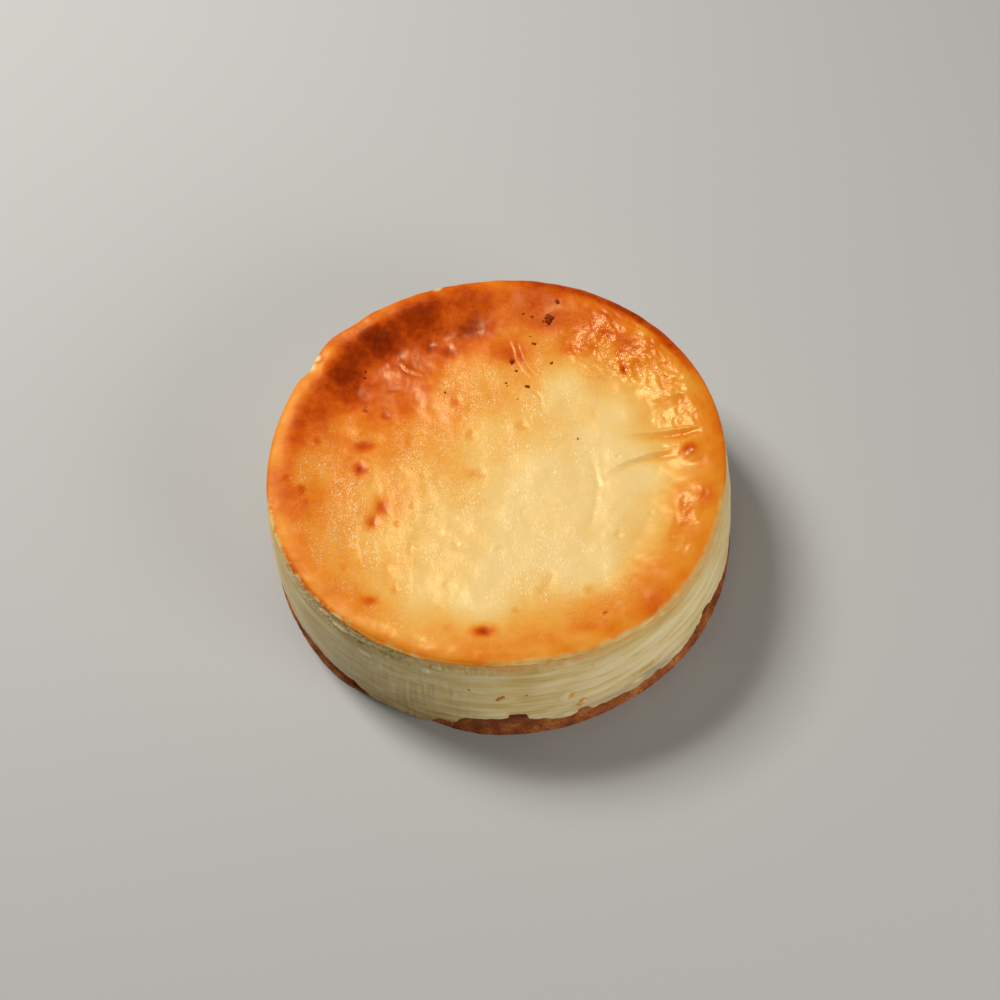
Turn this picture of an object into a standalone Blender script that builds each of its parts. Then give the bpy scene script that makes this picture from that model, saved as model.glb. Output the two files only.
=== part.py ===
"""New York cheesecake: a browned cream-cheese filling on a pressed biscuit base.

Metres, +Z up. The origin is the middle of the flat underside. Angles are in degrees round the cake,
anticlockwise from +X; the front of the cake faces -Y.
"""
import math

import bmesh
import bpy
from mathutils import Vector

MM = 0.001

# ---------------------------------------------------------------- driving dimensions
CAKE_HEIGHT = 54.0 * MM
SKIN_EDGE_RADIUS = 94.9 * MM      # mean radius where the browned top skin meets the side
BULGE_RADIUS = 99.0 * MM          # mean radius of the filling's side, at its widest, low down
FOOT_RADIUS = 99.8 * MM           # mean radius of the base on the table
BASE_THICKNESS = 19.0 * MM
GAP = 0.3 * MM                    # clearance between the filling and the top of the base
LIP_GAP = 0.4 * MM                # clearance between the filling's lip and the side of the base
SEGMENTS = 144                    # steps round the cake
INNER_RING_RADIUS = 60.0 * MM     # ring of points inside each flat face, for even triangles

# ---------------------------------------------------------------- finish (linear colours)
CHEESE_COLOUR = (0.86, 0.60, 0.24)
CHEESE_ROUGHNESS = 0.4
BISCUIT_COLOUR = (0.46, 0.19, 0.06)
BISCUIT_ROUGHNESS = 0.85

# ---------------------------------------------------------------- outline seen from above
# Waves round the rim: (waves per turn, depth, angle of the first crest).
RIM_WAVES = (
    (1, 1.1 * MM, 75),
    (2, 0.9 * MM, -20),
    (3, 0.7 * MM, -59),
    (4, 0.6 * MM, 34),
    (6, 0.3 * MM, 11),
)
# Local marks on the rim: (angle, half width in degrees, outward push).
RIM_MARKS = (
    (133, 8, 1.3 * MM),
    (143, 4, -1.6 * MM),
)
# Local marks low on the side of the filling, and on the foot of the base.
BULGE_MARKS = (
    (240, 22, -1.0 * MM),
    (310, 26, 0.6 * MM),
    (350, 30, -0.5 * MM),
)
FOOT_MARKS = (
    (240, 22, -3.2 * MM),
    (310, 26, 0.6 * MM),
    (350, 30, -0.4 * MM),
)
FOOT_WAVES = ((3, 0.2 * MM, 75), (7, 0.2 * MM, 20))

# ---------------------------------------------------------------- profile of the base
BASE_TOE = 0.5 * MM               # rounding of the bottom edge
BASE_FLARE_HEIGHT = 3.0 * MM      # the base spreads below this height
BASE_FLARE = 2.0 * MM             # how far it spreads there
BASE_TAPER = 1.5 * MM             # how far it leans in from the flare to its top

# ---------------------------------------------------------------- lower edge of the filling
LIP_HEIGHT = 7.6 * MM             # mean height of the ragged lip above the table
LIP_WAVES = ((5, 0.5 * MM, 12), (8, 0.5 * MM, 5))
# Tears that bare the base, and smears that cover it: (angle, half width, rise).
LIP_MARKS = (
    (25, 14, 3.0 * MM),
    (75, 16, 4.0 * MM),
    (115, 9, -3.0 * MM),
    (160, 12, 4.0 * MM),
    (238, 18, -7.0 * MM),
    (262, 9, 6.8 * MM),
    (269, 6, 8.0 * MM),
    (285, 5, 3.5 * MM),
    (298, 4, -2.0 * MM),
    (322, 6, 7.0 * MM),
)
LIP_LOWEST = 1.6 * MM
LIP_OVERLAP = 1.2 * MM            # the lip always hangs this far over the side of the base
LIP_TUCK = 0.35 * MM              # the lip's outer edge is drawn in by this much

# ---------------------------------------------------------------- side of the filling
SIDE_RINGS = 9
SIDE_LEAN = 2.2                   # how late the side curves in towards the skin edge
SIDE_FOOT = 12.0 * MM             # the side is widest at this height
# Flats and folds dragged into the side by a knife: (angle, half width, height, half height, push).
SIDE_FOLDS = (
    (0, 50, 32 * MM, 22 * MM, -0.9 * MM),
    (306, 24, 15 * MM, 5 * MM, 0.7 * MM),
    (300, 22, 26 * MM, 5 * MM, -0.6 * MM),
    (322, 20, 33 * MM, 6 * MM, 0.5 * MM),
    (252, 20, 11 * MM, 5 * MM, 0.5 * MM),
    (232, 24, 38 * MM, 6 * MM, -0.6 * MM),
)

# ---------------------------------------------------------------- dished top
SKIN_EDGE_DROP = 2.0 * MM         # the skin edge lies this much under the top of the cake
CREST_INSET = 4.5 * MM            # from the skin edge in to the crest of the rim
SHOULDER_INSET = 1.6 * MM         # the shoulder between them is rounded through this point
SHOULDER_DROP = 0.5 * MM
DISH_DEPTH = 4.6 * MM
DISH_SLOPE_WIDTH = 24.0 * MM
CENTRE_SAG = 1.6 * MM             # extra depth from the foot of the slope to the middle
STEEP_SIDE = 128                  # the bank is deepest at this angle
STEEP_HALF_WIDTH = 52
STEEP_EXTRA_DEPTH = 3.2 * MM
STEEP_NARROWING = 6.0 * MM
CREST_WAVES = ((2, 0.4 * MM, 120), (5, 0.3 * MM, 40))
MEAN_CREST_HEIGHT = CAKE_HEIGHT - sum(depth for _, depth, _ in CREST_WAVES)
# Swells and hollows on the top: (x, y, half length along x, half length along y, rise).
TOP_MARKS = (
    (38 * MM, -14 * MM, 9 * MM, 34 * MM, -0.9 * MM),
    (20 * MM, 8 * MM, 20 * MM, 26 * MM, 0.7 * MM),
    (62 * MM, 2 * MM, 22 * MM, 9 * MM, 0.9 * MM),
    (80 * MM, -4 * MM, 8 * MM, 8 * MM, 1.0 * MM),
    (-50 * MM, -16 * MM, 14 * MM, 22 * MM, -0.7 * MM),
)
# Rings of the top mesh, as fractions of the way from the middle to the crest.
TOP_RINGS = (0.12, 0.24, 0.36, 0.46, 0.55, 0.63, 0.70, 0.77, 0.83, 0.89, 0.95, 1.0)


def angle_between(a, b):
    """Smallest angle in degrees between two directions."""
    return abs((a - b + 180) % 360 - 180)


def hump(distance, half_width):
    """1 in the middle of a mark, falling smoothly to 0 at its half width."""
    if distance >= half_width:
        return 0.0
    return 0.5 + 0.5 * math.cos(math.pi * distance / half_width)


def smooth_step(t):
    t = min(max(t, 0.0), 1.0)
    return t * t * (3 - 2 * t)


def waves(angle, rows):
    return sum(depth * math.cos(math.radians(count * (angle - crest))) for count, depth, crest in rows)


def marks(angle, rows):
    return sum(push * hump(angle_between(angle, centre), half) for centre, half, push in rows)


def skin_edge_radius(angle):
    return SKIN_EDGE_RADIUS + waves(angle, RIM_WAVES) + marks(angle, RIM_MARKS)


def foot_radius(angle):
    return FOOT_RADIUS + waves(angle, FOOT_WAVES) + marks(angle, FOOT_MARKS)


def base_radius(angle, z):
    """Outside of the base at a height above its toe."""
    flare = min((z - BASE_TOE) / (BASE_FLARE_HEIGHT - BASE_TOE), 1.0)
    lean = max((z - BASE_FLARE_HEIGHT) / (BASE_THICKNESS - BASE_FLARE_HEIGHT), 0.0)
    return foot_radius(angle) - BASE_FLARE * flare - BASE_TAPER * lean


def lip_height(angle):
    height = LIP_HEIGHT + waves(angle, LIP_WAVES) + marks(angle, LIP_MARKS)
    return min(max(height, LIP_LOWEST), BASE_THICKNESS - LIP_OVERLAP)


def side_radius(angle, z):
    """Outside of the filling at a height, from the lip up to the skin edge."""
    top = CAKE_HEIGHT - SKIN_EDGE_DROP
    climb = max((z - SIDE_FOOT) / (top - SIDE_FOOT), 0.0) ** SIDE_LEAN
    low = BULGE_RADIUS + marks(angle, BULGE_MARKS)
    radius = low + (skin_edge_radius(angle) - low) * climb
    for centre, half, height, half_height, push in SIDE_FOLDS:
        radius += push * hump(angle_between(angle, centre), half) * hump(abs(z - height), half_height)
    return radius


def crest_height(angle):
    return MEAN_CREST_HEIGHT + waves(angle, CREST_WAVES)


def top_height(angle, radius):
    """Height of the dished top inside the crest of the rim."""
    steep = hump(angle_between(angle, STEEP_SIDE), STEEP_HALF_WIDTH)
    crest_radius = skin_edge_radius(angle) - CREST_INSET
    outwards = radius / crest_radius
    slope = smooth_step((crest_radius - radius) / (DISH_SLOPE_WIDTH - STEEP_NARROWING * steep))
    depth = DISH_DEPTH + STEEP_EXTRA_DEPTH * steep * smooth_step(outwards)
    crest = MEAN_CREST_HEIGHT + waves(angle, CREST_WAVES) * smooth_step(outwards)
    z = crest - depth * slope - CENTRE_SAG * smooth_step(1 - outwards)
    turn = math.radians(angle)
    x = radius * math.cos(turn)
    y = radius * math.sin(turn)
    for mark_x, mark_y, half_x, half_y, rise in TOP_MARKS:
        z += rise * hump(math.hypot((x - mark_x) / half_x, (y - mark_y) / half_y), 1.0)
    return z


def ring(radius_at, height_at):
    """One closed ring of points; both arguments are functions of the angle."""
    points = []
    for step in range(SEGMENTS):
        angle = 360 * step / SEGMENTS
        turn = math.radians(angle)
        radius = radius_at(angle)
        points.append(Vector((radius * math.cos(turn), radius * math.sin(turn), height_at(angle))))
    return points


def loft(name, first_pole, rings, last_pole, material):
    """Closed body through rings of points, from one pole to the other."""
    bm = bmesh.new()
    loops = [[bm.verts.new(point) for point in points] for points in rings]
    start = bm.verts.new(first_pole)
    end = bm.verts.new(last_pole)
    for step in range(SEGMENTS):
        after = (step + 1) % SEGMENTS
        bm.faces.new((start, loops[0][after], loops[0][step]))
        for lower, upper in zip(loops, loops[1:]):
            bm.faces.new((lower[step], lower[after], upper[after], upper[step]))
        bm.faces.new((loops[-1][step], loops[-1][after], end))
    bmesh.ops.triangulate(bm, faces=bm.faces, quad_method="SHORT_EDGE")
    bmesh.ops.recalc_face_normals(bm, faces=bm.faces)
    mesh = bpy.data.meshes.new(name)
    bm.to_mesh(mesh)
    bm.free()
    mesh.shade_smooth()
    mesh.set_sharp_from_angle(angle=math.radians(40))
    mesh.materials.append(material)
    body = bpy.data.objects.new(name, mesh)
    bpy.context.collection.objects.link(body)
    return body


def principled(name, colour, roughness):
    """Food material; the colour is linear."""
    material = bpy.data.materials.new(name)
    material.use_nodes = True
    shader = material.node_tree.nodes["Principled BSDF"]
    shader.inputs["Base Color"].default_value = (*colour, 1.0)
    shader.inputs["Roughness"].default_value = roughness
    shader.inputs["Metallic"].default_value = 0.0
    return material


def make_biscuit_base():
    """Pressed crumb disc with a spread foot; the flat underside rests on the table."""
    rings = [
        ring(lambda a: INNER_RING_RADIUS, lambda a: 0.0),
        ring(lambda a: foot_radius(a) - BASE_TOE, lambda a: 0.0),
        ring(foot_radius, lambda a: BASE_TOE),
        ring(lambda a: base_radius(a, BASE_FLARE_HEIGHT), lambda a: BASE_FLARE_HEIGHT),
        ring(lambda a: base_radius(a, BASE_THICKNESS), lambda a: BASE_THICKNESS),
        ring(lambda a: INNER_RING_RADIUS, lambda a: BASE_THICKNESS),
    ]
    material = principled("baked_biscuit", BISCUIT_COLOUR, BISCUIT_ROUGHNESS)
    return loft("biscuit_base", Vector((0, 0, 0)), rings, Vector((0, 0, BASE_THICKNESS)), material)


def lip_rings(underside):
    """Underside of the filling, out to its lip and down over the side of the base."""
    return [
        ring(lambda a: INNER_RING_RADIUS, lambda a: underside),
        ring(lambda a: base_radius(a, BASE_THICKNESS) + LIP_GAP, lambda a: underside),
        ring(lambda a: base_radius(a, lip_height(a)) + LIP_GAP, lip_height),
        ring(lambda a: side_radius(a, lip_height(a)) - LIP_TUCK, lip_height),
    ]


def side_rings():
    """Side of the filling, from the lip up to the skin edge."""
    skin_edge = CAKE_HEIGHT - SKIN_EDGE_DROP

    def side_z(angle, climb):
        low = lip_height(angle) + LIP_TUCK
        return low + (skin_edge - low) * climb

    return [
        ring(lambda a, t=row / SIDE_RINGS: side_radius(a, side_z(a, t)),
             lambda a, t=row / SIDE_RINGS: side_z(a, t))
        for row in range(SIDE_RINGS + 1)
    ]


def top_rings():
    """Rounded shoulder, then the crest of the rim and the dished top, inwards."""
    def crest_radius(angle):
        return skin_edge_radius(angle) - CREST_INSET

    rings = [ring(
        lambda a: skin_edge_radius(a) - SHOULDER_INSET,
        lambda a: crest_height(a) - SHOULDER_DROP)]
    for fraction in reversed(TOP_RINGS):
        rings.append(ring(
            lambda a, f=fraction: crest_radius(a) * f,
            lambda a, f=fraction: top_height(a, crest_radius(a) * f)))
    return rings


def make_cheese_filling():
    """Cream-cheese body that sits on the base, laps over its side in a torn lip and has a dished top."""
    underside = BASE_THICKNESS + GAP
    rings = lip_rings(underside) + side_rings() + top_rings()
    material = principled("baked_cream_cheese", CHEESE_COLOUR, CHEESE_ROUGHNESS)
    middle = Vector((0, 0, top_height(0, 0.0)))
    return loft("cheese_filling", Vector((0, 0, underside)), rings, middle, material)


for old in list(bpy.data.objects):
    bpy.data.objects.remove(old)
make_biscuit_base()
make_cheese_filling()
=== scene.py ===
"""Looks of a New York cheesecake: browned cream-cheese filling on a pressed biscuit base.

Metres, +Z up, the front of the cake faces -Y. Angles are in degrees round the cake from +X.
"""

import math

import bpy
import numpy as np
from mathutils import Matrix, Vector, noise


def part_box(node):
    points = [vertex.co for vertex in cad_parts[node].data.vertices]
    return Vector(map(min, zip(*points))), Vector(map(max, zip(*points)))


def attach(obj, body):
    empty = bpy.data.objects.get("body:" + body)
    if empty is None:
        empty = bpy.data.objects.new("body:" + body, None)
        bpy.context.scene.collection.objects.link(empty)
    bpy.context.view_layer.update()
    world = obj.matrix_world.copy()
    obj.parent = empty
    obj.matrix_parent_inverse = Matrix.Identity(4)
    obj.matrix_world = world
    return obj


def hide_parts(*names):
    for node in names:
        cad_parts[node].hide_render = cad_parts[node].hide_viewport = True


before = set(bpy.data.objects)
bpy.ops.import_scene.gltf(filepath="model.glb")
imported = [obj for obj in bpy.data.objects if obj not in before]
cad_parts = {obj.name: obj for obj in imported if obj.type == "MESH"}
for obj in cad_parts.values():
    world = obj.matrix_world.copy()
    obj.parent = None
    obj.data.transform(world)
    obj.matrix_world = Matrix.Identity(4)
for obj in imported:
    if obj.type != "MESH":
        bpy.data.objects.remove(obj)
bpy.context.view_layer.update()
MM = 0.001

# ---- sizes taken from the frame
_, FILLING_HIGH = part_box("cheese_filling")
BASE_LOW, BASE_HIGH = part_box("biscuit_base")
CAKE_HEIGHT = FILLING_HIGH[2]
BASE_THICKNESS = BASE_HIGH[2]

# ---- outline and profile, as the solids have them
# Waves are (count round the cake, depth, angle of a crest); marks are (angle, half width, push).
SKIN_EDGE_RADIUS = 94.9 * MM
BULGE_RADIUS = 99.0 * MM
FOOT_RADIUS = 99.8 * MM
RIM_WAVES = (
    (1, 1.1 * MM, 75), (2, 0.9 * MM, -20), (3, 0.7 * MM, -59), (4, 0.6 * MM, 34), (6, 0.3 * MM, 11),
)
RIM_MARKS = ((133, 8, 1.3 * MM), (143, 4, -1.6 * MM))
BULGE_MARKS = ((240, 22, -1.0 * MM), (310, 26, 0.6 * MM), (350, 30, -0.5 * MM))
FOOT_MARKS = ((240, 22, -3.2 * MM), (310, 26, 0.6 * MM), (350, 30, -0.4 * MM))
FOOT_WAVES = ((3, 0.2 * MM, 75), (7, 0.2 * MM, 20))
BASE_TOE = 0.5 * MM
BASE_FLARE_HEIGHT = 3.0 * MM
BASE_FLARE = 2.0 * MM
BASE_TAPER = 1.5 * MM
SIDE_LEAN = 2.2
SIDE_FOOT = 12.0 * MM

# Ragged lower lip of the filling. Steps are (angle, half width, width of the slope, rise).
LIP_HEIGHT = 7.6 * MM
LIP_MARKS = (
    (25, 14, 3.0 * MM), (75, 16, 4.0 * MM), (115, 9, -3.0 * MM), (160, 12, 4.0 * MM),
    (273, 6, 4.5 * MM), (284.3, 3.2, 3.8 * MM), (298, 3, -2.0 * MM), (304, 3, 2.0 * MM),
    (324, 12, 5.0 * MM),
)
LIP_STEPS = (
    (238, 12.5, 5, -6.6 * MM), (262, 9.5, 4.5, 6.6 * MM), (268.8, 2.6, 0.8, 5.0 * MM),
    (323.3, 3, 1.5, 4.0 * MM),
)
LIP_LOWEST = 0.9 * MM
LIP_HIGHEST = 17.8 * MM

# ---- dished top
SKIN_EDGE_DROP = 2.0 * MM
CREST_INSET = 4.5 * MM
DISH_DEPTH = 4.6 * MM
DISH_SLOPE_WIDTH = 24.0 * MM
CENTRE_SAG = 1.6 * MM
STEEP_SIDE = 128
STEEP_HALF_WIDTH = 52
STEEP_EXTRA_DEPTH = 3.2 * MM
STEEP_NARROWING = 6.0 * MM
CREST_WAVES = ((2, 0.4 * MM, 120), (5, 0.3 * MM, 40))
MEAN_CREST_HEIGHT = CAKE_HEIGHT - sum(depth for _, depth, _ in CREST_WAVES) - 0.1 * MM
HIGHEST_SKIN = CAKE_HEIGHT - 0.05 * MM
SHOULDER_DROP = 1.4 * MM
# At the front left the rim has slumped: its shoulder is wider and drops further there.
SLUMPS = ((240, 15, 10, 1.0),)
SLUMP_WIDENING = 2.5 * MM
SLUMP_DROP = 0.9 * MM
# The skin stands out from the side by SKIN_STAND and hangs over it by SKIN_HANG, more at the drips.
SKIN_STAND = 0.28 * MM
SKIN_HANG = 0.3 * MM
DRIPS = ((212, 26, 14, 1.5 * MM), (296, 8, 4, 1.2 * MM))
# The rim is laid out flat at this radius where wrinkles and streaks follow it.
UNROLLED_RADIUS = 85.0 * MM

# Swells and hollows of the top: (x, y, half length along x, half length along y, rise), in mm.
TOP_SWELLS = (
    (38, -14, 13, 34, -0.5), (20, 8, 20, 26, 0.7), (62, 2, 22, 9, 0.9), (81, -4, 6, 7, 1.5),
    (-50, -16, 14, 22, -0.7), (-8, 40, 30, 18, 0.4), (-66, 2, 10, 30, 0.5),
)
# Pits left by burst bubbles, and brown spots: (x, y, half x, half y, depth, browning), sizes in mm.
PITS = (
    (-9, 18.5, 3.2, 3.6, 0.9, 0.16), (13, 20, 3.8, 2.6, 1.1, 0.16), (-8, -1, 6, 3.5, 0.4, 0.24),
    (-56.5, 6.5, 4, 5, 0.6, 0.34), (-54, 18.5, 6, 4, 0.5, 0.28), (-49, -12, 4.6, 7, 0.6, 0.32),
    (-53.5, -19, 4.5, 6, 0.8, 0.36), (-43, -21, 1.6, 2, 0.7, 0.2), (-87, 3, 2.8, 2.4, 0.8, 0.14),
    (-81.5, -2, 2.6, 3, 0.3, 0.2), (-80, -8.5, 1.4, 1.4, 0.3, 0.1), (-36, 18.5, 2.2, 5, 0.3, 0.12),
    (-36, -13.5, 2, 2, 0.4, 0.12), (-31, 0.5, 2, 2, 0.2, 0.08), (44, 22, 2.6, 3.6, 0.6, 0.06),
    (51, -0.5, 1.5, 1.5, 0.4, 0.12), (58.5, 42, 2.4, 4.4, 0.9, 0.34), (36, 55, 8, 7, 0.4, 0.16),
    (46.5, -38.5, 2, 3.2, 1, 0.1), (-12, -76, 6.5, 4.4, 0.7, 0.5), (-26, -73, 2.5, 2.5, 0.4, 0.14),
    (1.5, -67.5, 2.4, 2.2, 0.5, 0.2), (31.5, -61.5, 3, 2.6, 0.5, 0.2), (36.3, -74.3, 1.4, 1, 0.3, 0.4),
    (-29, -62, 2.6, 2.4, 0.4, 0.12), (-46, -52, 2.6, 3, 0.5, 0.2), (-56, -57, 5, 4, 0.4, 0.24),
    (-25, -52, 1.8, 1.6, 0.3, 0.08), (-23.5, 67, 4, 4.4, 0.7, 0.3), (-15, 62.5, 4, 4.4, 0.6, 0.24),
    (-53, 37.5, 2, 1.8, 0.5, 0.34), (-44.5, 33.5, 2.8, 2.8, 0.6, 0.24), (-41, 46, 4.6, 1.6, 0.4, 0.24),
    (-58, 43, 8, 7, 0.6, 0.16), (-38, -33, 1.4, 4, 0.4, 0.05), (-2, -38.5, 2.4, 3.4, 0.5, 0.05),
    (80, -3, 4.6, 4.6, 0, 0.36), (15, -2, 2, 2, 0.3, 0.05), (26, 7, 1, 2, 0.4, 0.08),
    (-20, -34, 2, 3, 0.3, 0.05), (8, -22, 2, 1.6, 0.25, 0.03), (60, -30, 2.2, 2, 0.35, 0.05),
    (-66, -40, 2, 3.2, 0.4, 0.1), (-74, 22, 2.2, 3, 0.3, 0.14), (-14, 36, 3, 4, 0.3, 0.1),
    (2, 37, 3.4, 2.2, 0.4, 0.1), (70, 66, 5, 4, 0.4, 0.2),
)
# Creases: (centre x, centre y, radius, from angle, to angle, half width, depth), lengths in mm.
CREASES = (
    (-6.9, -9.1, 47.5, -39, 20, 2.4, 0.5), (-6.9, -9.1, 43, -40, 24, 3, -0.15),
    (0, 0, 80, -40, -13, 3.4, 0.35), (0, 0, 85, -38, -16, 1.8, -0.25),
    (92, 185, 180, -102.6, -91, 2.4, 0.8), (92, 185, 177.2, -102.6, -91, 1.2, -0.6),
    (70, -52, 48.6, 80, 124, 2.4, 0.8), (70, -52, 51.4, 82, 122, 1.2, -0.6),
    (1.8, -46.6, 16.8, -62, -12, 3, 0.65), (50.8, 64.4, 37.9, 174, 219, 1.1, -0.35),
    (50.8, 64.4, 36.1, 178, 215, 1.1, 0.2), (-20, 70, 19, 208, 252, 1.1, -0.45),
    (-20, 70, 20.8, 208, 252, 1, 0.3), (0, 0, 27.5, 130, 262, 3, -0.2), (0, -4, 36, 196, 300, 4, 0.25),
    (4, -2, 52, -80, -20, 3, -0.2), (30, 24, 28, -40, 40, 3, -0.2), (13, 30, 9, -20, 70, 1.2, 0.3),
    (-4, 24, 14, 20, 110, 2, -0.2),
)
# Places where the skin has split and pale filling shows: (x, y, half size), in mm.
SPLITS = ((-75, 58.5, 3.6), (-72.5, 63, 3), (-17.5, 93.5, 3.2))
# Broad patches of deeper or paler browning: (x, y, half x, half y, change), lengths in mm.
BROWN_PATCHES = (
    (-24, 82, 18, 8, 0.1), (-44, 71, 13, 10, 0.14), (-60, 55, 12, 11, 0.16), (-54, 46, 9, 8, 0.06),
    (-3, 72, 16, 8, 0.19), (27, 70, 12, 8, 0.1), (12, 57, 13, 10, 0.18), (42, 55, 8, 8, 0.08),
    (-14, 55, 9, 7, -0.08), (0, 0, 26, 24, -0.02), (-4, 22, 14, 16, -0.08), (31, 36, 14, 16, -0.14),
    (-55, -5, 26, 36, -0.06), (-71, 10, 15, 22, -0.25), (-62, 30, 12, 10, -0.08),
    (-54, 20, 14, 14, -0.08), (-53, -14, 17, 14, 0.15), (-40, -22, 14, 16, 0.06),
    (-83, -28, 8, 14, 0.08), (66, -14, 18, 12, -0.12), (64, 2, 16, 6, -0.08), (55, 13, 18, 9, 0.11),
    (48, 62, 26, 16, 0.06), (74, -34, 7, 18, 0.06), (84, -26, 7, 10, 0.17), (-84, 2, 9, 18, -0.14),
    (-41, -7, 14, 15, 0.14), (-42, -38, 13, 14, 0.1), (-28, 42, 9, 8, 0.07), (44, 42, 8, 8, 0.08),
    (-14, 0, 8, 8, 0.08), (8, -62, 26, 18, 0.18), (-22, -30, 46, 42, 0.08), (-14, 42, 10, 9, 0.06),
    (-74, 28, 12, 12, -0.07), (60, 42, 12, 10, 0.06), (28, -86, 13, 7, -0.22), (-72, 63, 4, 4, 0.16),
)


def between(a, b):
    """Smallest angle in degrees between two directions."""
    return np.abs((a - b + 180) % 360 - 180)


def hump(distance, half_width):
    """1 in the middle of a mark, falling smoothly to 0 at its half width."""
    return 0.5 + 0.5 * np.cos(np.pi * np.minimum(np.abs(distance) / half_width, 1.0))


def sector(angle, centre, half_width):
    """1 at an angle round the cake, falling smoothly to 0 at the half width."""
    return hump(between(angle, centre), half_width)


def smooth_step(t):
    """0 below 0, 1 above 1, and smooth between them."""
    t = np.clip(t, 0.0, 1.0)
    return t * t * (3 - 2 * t)


def waves(angle, rows):
    return sum(depth * np.cos(np.radians(count * (angle - crest))) for count, depth, crest in rows)


def marks(angle, rows):
    return sum(push * sector(angle, centre, half) for centre, half, push in rows)


def steps(angle, rows):
    """Flat-topped marks with a slope at each end."""
    return sum(rise * smooth_step((half - between(angle, centre)) / slope)
               for centre, half, slope, rise in rows)


def grain(points, size, seed=0):
    """Smooth noise from about -1 to 1; size is its grain in mm, one number or one for each axis."""
    scaled = points / (np.array(size) * MM) + seed * 17.31
    return np.fromiter(map(noise.noise, scaled.tolist()), float, len(scaled))


def oval(x, y, centre_x, centre_y, half_x, half_y):
    """Distance from the middle of an oval mark, as a share of its half size."""
    return np.hypot((x - centre_x) / half_x, (y - centre_y) / half_y)


def skin_edge_radius(angle):
    return SKIN_EDGE_RADIUS + waves(angle, RIM_WAVES) + marks(angle, RIM_MARKS)


def foot_radius(angle):
    return FOOT_RADIUS + waves(angle, FOOT_WAVES) + marks(angle, FOOT_MARKS)


def base_radius(angle, z):
    """Outside of the biscuit base at a height."""
    toe = BASE_TOE * (1 - np.sqrt(np.clip(1 - (1 - np.minimum(z / BASE_TOE, 1.0)) ** 2, 0, 1)))
    flare = np.clip((z - BASE_TOE) / (BASE_FLARE_HEIGHT - BASE_TOE), 0.0, 1.0)
    lean = np.maximum((z - BASE_FLARE_HEIGHT) / (BASE_THICKNESS - BASE_FLARE_HEIGHT), 0.0)
    return foot_radius(angle) - toe - BASE_FLARE * flare - BASE_TAPER * lean


def circle(angle, radius, z):
    """Points at these angles, radii and heights."""
    turn = np.radians(angle)
    return np.stack([radius * np.cos(turn), radius * np.sin(turn), z + 0 * turn], axis=1)


def angle_of(points):
    return np.degrees(np.arctan2(points[:, 1], points[:, 0]))


def unrolled(angle, radius):
    """The rim laid out flat: X runs round it, Y away from the middle."""
    return np.stack([np.radians(angle) * UNROLLED_RADIUS, radius, 0 * angle], axis=1)


def lip_height(angle):
    """Height of the torn lower lip of the filling."""
    rim = circle(angle, BULGE_RADIUS, 0.0)
    ragged = 1.5 * MM * grain(rim, 4, 1) + 0.6 * MM * grain(rim, 1.8, 2)
    height = LIP_HEIGHT + marks(angle, LIP_MARKS) + steps(angle, LIP_STEPS) + ragged
    return np.clip(height, LIP_LOWEST + 0.4 * ragged, LIP_HIGHEST + 0.5 * ragged)


def skin_lower_edge(angle, upper):
    """Height where the browned skin ends on the side, ragged and with drips, from its upper edge."""
    rim = circle(angle, SKIN_EDGE_RADIUS, 0.0)
    drips = steps(angle, DRIPS) * np.maximum(grain(rim, 3, 41), 0)
    ragged = 0.7 * MM * grain(rim, 6, 42) + 0.4 * MM * grain(rim, 1.8, 43)
    return upper - SKIN_HANG - np.maximum(ragged, -0.3 * MM) - drips


# ---- modelling helpers
# Plain pieces have a radius of 1 before they are shaped, and their closing rings are turned in to
# TURNED_IN. Vertices within TOLERANCE of a level or of the rim count as on it.
TOLERANCE = 1e-4
TURNED_IN = 0.9


def coordinates(mesh):
    flat = np.empty(len(mesh.vertices) * 3)
    mesh.vertices.foreach_get("co", flat)
    return flat.reshape(-1, 3)


def move_vertices(mesh, points):
    mesh.vertices.foreach_set("co", points.ravel())
    mesh.update()


def select_edges(mesh, chosen):
    """Leaves only the chosen edges selected, and goes into edit mode."""
    bpy.ops.object.mode_set(mode="OBJECT")
    ends = np.empty(len(mesh.edges) * 2, int)
    mesh.edges.foreach_get("vertices", ends)
    ends = ends.reshape(-1, 2)
    picked = chosen(coordinates(mesh)[ends])
    vertex_picked = np.zeros(len(mesh.vertices), bool)
    vertex_picked[ends[picked].ravel()] = True
    mesh.vertices.foreach_set("select", vertex_picked)
    mesh.edges.foreach_set("select", picked)
    mesh.polygons.foreach_set("select", np.zeros(len(mesh.polygons), bool))
    bpy.context.tool_settings.mesh_select_mode = (False, True, False)
    bpy.ops.object.mode_set(mode="EDIT")


def disc_from_square(points):
    """Moves the points of a square grid, from -1 to 1, into a unit disc, ring by ring."""
    x, y = points[:, 0], points[:, 1]
    wide = np.abs(x) >= np.abs(y)
    radius = np.where(wide, np.abs(x), np.abs(y))
    safe_x = np.where(x == 0, 1, x)
    safe_y = np.where(y == 0, 1, y)
    turn = np.where(wide, np.pi / 4 * y / safe_x, np.pi / 2 - np.pi / 4 * x / safe_y)
    facing = np.where(wide, np.sign(x), np.sign(y))
    return np.stack([facing * radius * np.cos(turn), facing * radius * np.sin(turn), 0 * x], axis=1)


def on_rim(ends):
    """For each edge, whether both its ends are on the unit circle."""
    return (np.hypot(ends[..., 0], ends[..., 1]) > 1 - TOLERANCE).all(axis=1)


def upright(ends):
    """For each edge, whether it runs down the side."""
    return np.abs(ends[:, 0, 2] - ends[:, 1, 2]) > 0.5


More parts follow.
